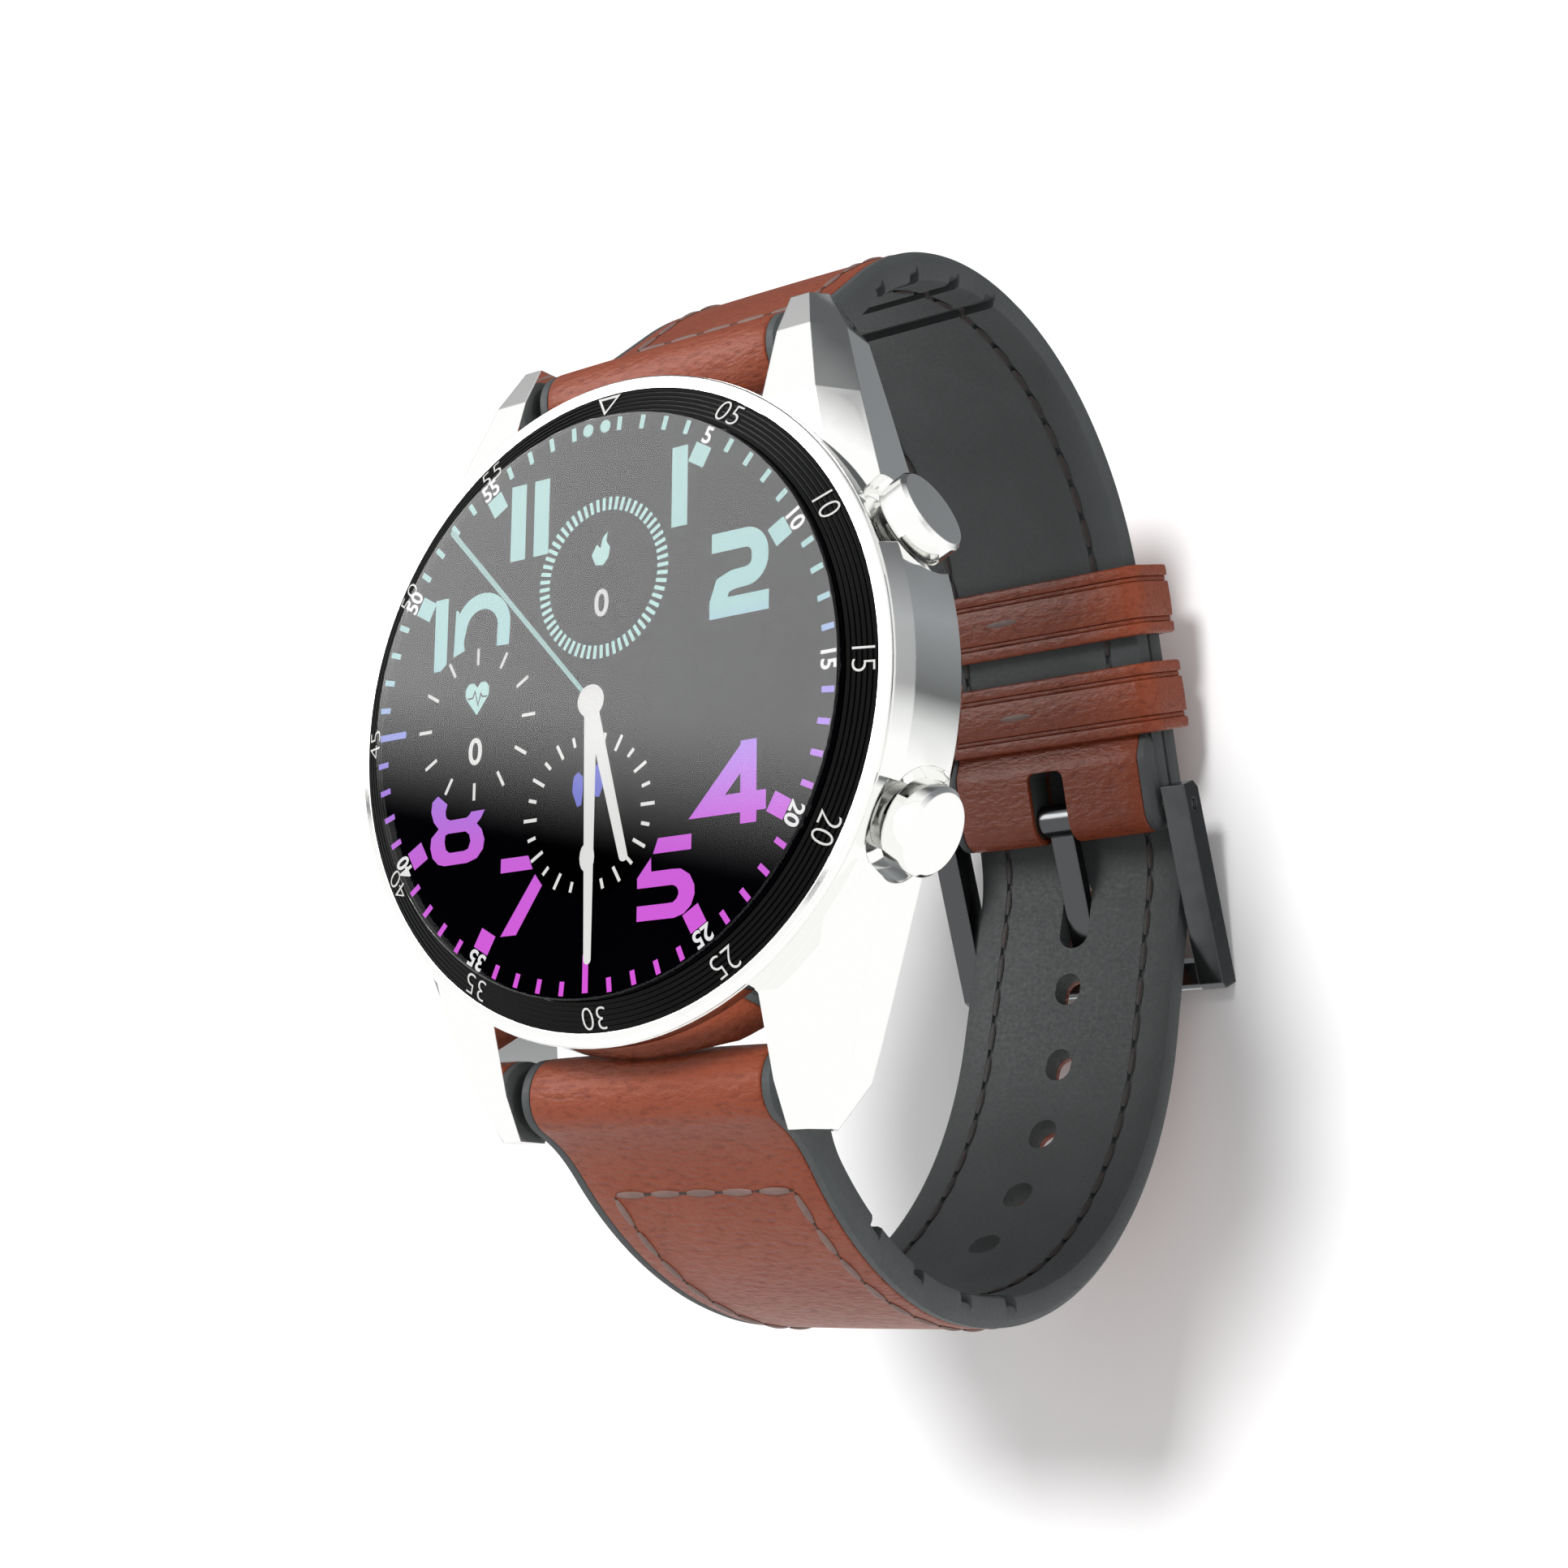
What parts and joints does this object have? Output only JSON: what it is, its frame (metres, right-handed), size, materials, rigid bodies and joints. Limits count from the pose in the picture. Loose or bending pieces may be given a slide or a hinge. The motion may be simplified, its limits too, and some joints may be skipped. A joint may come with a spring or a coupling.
{
  "type": "smartwatch",
  "caption": "Round smartwatch with a polished steel case, push buttons and faceted lugs, on a closed brown leather and elastomer strap with a pin buckle and keepers.",
  "frame": {"origin": "middle of the box round the whole closed watch, at its lowest point", "axes": "+X to 3 o'clock and the buttons, +Y to 12 o'clock, +Z out of the dial"},
  "size_m": [0.0472, 0.081, 0.0706],
  "materials": {
    "polished_steel": "mirror polished stainless steel",
    "satin_steel": "fine turned stainless steel",
    "gunmetal": "dark PVD coated steel, polished",
    "glass": "hardened cover glass",
    "display": "AMOLED panel",
    "dial_black": "turned black ring with printed numerals",
    "leather": "pebbled brown leather",
    "elastomer": "slate grey fluoroelastomer",
    "black_polymer": "glass filled polymer",
    "pcb": "solder mask",
    "chip": "moulded package",
    "battery": "aluminium pouch foil",
    "gold": "gold plated contact",
    "seal_rubber": "nitrile rubber",
    "sensor_glass": "domed sensor window",
    "diode": "sensor lamp",
    "spring_steel": "drawn spring wire"
  },
  "bodies": {
    "case": {"mid_case": "polished_steel", "bezel_ring": "polished_steel", "cover_glass": "glass", "dial_ring": "dial_black", "glass_gasket": "seal_rubber", "display_panel": "display", "rear_cover": "black_polymer", "sensor_window": "sensor_glass", "rear_screws": "satin_steel", "charging_contacts": "gold", "rear_gasket": "seal_rubber", "inner_frame": "black_polymer", "main_board": "pcb", "board_chips": "chip", "battery": "battery", "haptic_motor": "satin_steel", "speaker": "black_polymer", "microphone": "satin_steel", "antenna_band": "gold", "display_flex": "gold", "sensor_board": "pcb", "sensor_diodes": "diode", "upper_button_tube": "satin_steel", "upper_button_seal": "seal_rubber", "upper_button_spring": "spring_steel", "upper_button_switch": "satin_steel", "lower_button_tube": "satin_steel", "lower_button_seal": "seal_rubber", "lower_button_spring": "spring_steel", "lower_button_switch": "satin_steel"},
    "upper_button": {"upper_button_cap": "polished_steel", "upper_button_clip": "spring_steel"},
    "lower_button": {"lower_button_cap": "polished_steel", "lower_button_clip": "spring_steel"},
    "upper_strap": {"upper_strap_leather": "leather", "upper_strap_lining": "elastomer", "upper_bar_tube": "satin_steel", "upper_bar_fixed_tip": "satin_steel", "upper_bar_spring": "spring_steel", "buckle_bar": "satin_steel", "fixed_keeper": "leather"},
    "lower_strap": {"lower_strap_leather": "leather", "lower_strap_lining": "elastomer", "lower_bar_tube": "satin_steel", "lower_bar_fixed_tip": "satin_steel", "lower_bar_spring": "spring_steel"},
    "upper_bar_release": {"upper_bar_release_tip": "satin_steel"},
    "lower_bar_release": {"lower_bar_release_tip": "satin_steel"},
    "buckle": {"buckle_frame": "gunmetal"},
    "tongue": {"buckle_tongue": "gunmetal"},
    "loose_keeper": {"free_keeper": "leather"}
  },
  "joints": [
    {"name": "upper_button_press", "type": "slide", "parent": "case", "child": "upper_button", "axis": [-0.9092, -0.4163, 0], "range_m": [0, 0.0005], "stiffness_N_per_m": 1500, "springref_m": -0.0006, "deforming": ["upper_button_spring"]},
    {"name": "lower_button_press", "type": "slide", "parent": "case", "child": "lower_button", "axis": [-0.9092, 0.4163, 0], "range_m": [0, 0.0005], "stiffness_N_per_m": 1500, "springref_m": -0.0006, "deforming": ["lower_button_spring"]},
    {"name": "upper_strap_swing", "type": "hinge", "parent": "case", "child": "upper_strap", "pos_m": [-0.00041, 0.02495, 0.06205], "axis": [1, 0, 0], "range_deg": [0, 60], "deforming": ["upper_strap_leather", "upper_strap_lining"]},
    {"name": "lower_strap_swing", "type": "hinge", "parent": "case", "child": "lower_strap", "pos_m": [-0.00041, -0.02505, 0.06205], "axis": [-1, 0, 0], "range_deg": [0, 60], "deforming": ["lower_strap_leather", "lower_strap_lining"]},
    {"name": "upper_bar_release", "type": "slide", "parent": "upper_strap", "child": "upper_bar_release", "axis": [-1, 0, 0], "range_m": [0, 0.0014], "stiffness_N_per_m": 500, "springref_m": -0.002, "deforming": ["upper_bar_spring"]},
    {"name": "lower_bar_release", "type": "slide", "parent": "lower_strap", "child": "lower_bar_release", "axis": [-1, 0, 0], "range_m": [0, 0.0014], "stiffness_N_per_m": 500, "springref_m": -0.002, "deforming": ["lower_bar_spring"]},
    {"name": "buckle_turn", "type": "hinge", "parent": "upper_strap", "child": "buckle", "pos_m": [-0.00041, 0.00245, 0.00695], "axis": [1, 0, 0], "range_deg": [0, 60]},
    {"name": "tongue_lift", "type": "hinge", "parent": "buckle", "child": "tongue", "pos_m": [-0.00041, 0.00245, 0.00695], "axis": [1, 0, 0], "range_deg": [0, 60]},
    {"name": "keeper_slide", "type": "hinge", "parent": "upper_strap", "child": "loose_keeper", "pos_m": [-0.00041, 0.01375, 0.03575], "axis": [1, 0, 0], "range_deg": [0, 25]}
  ]
}
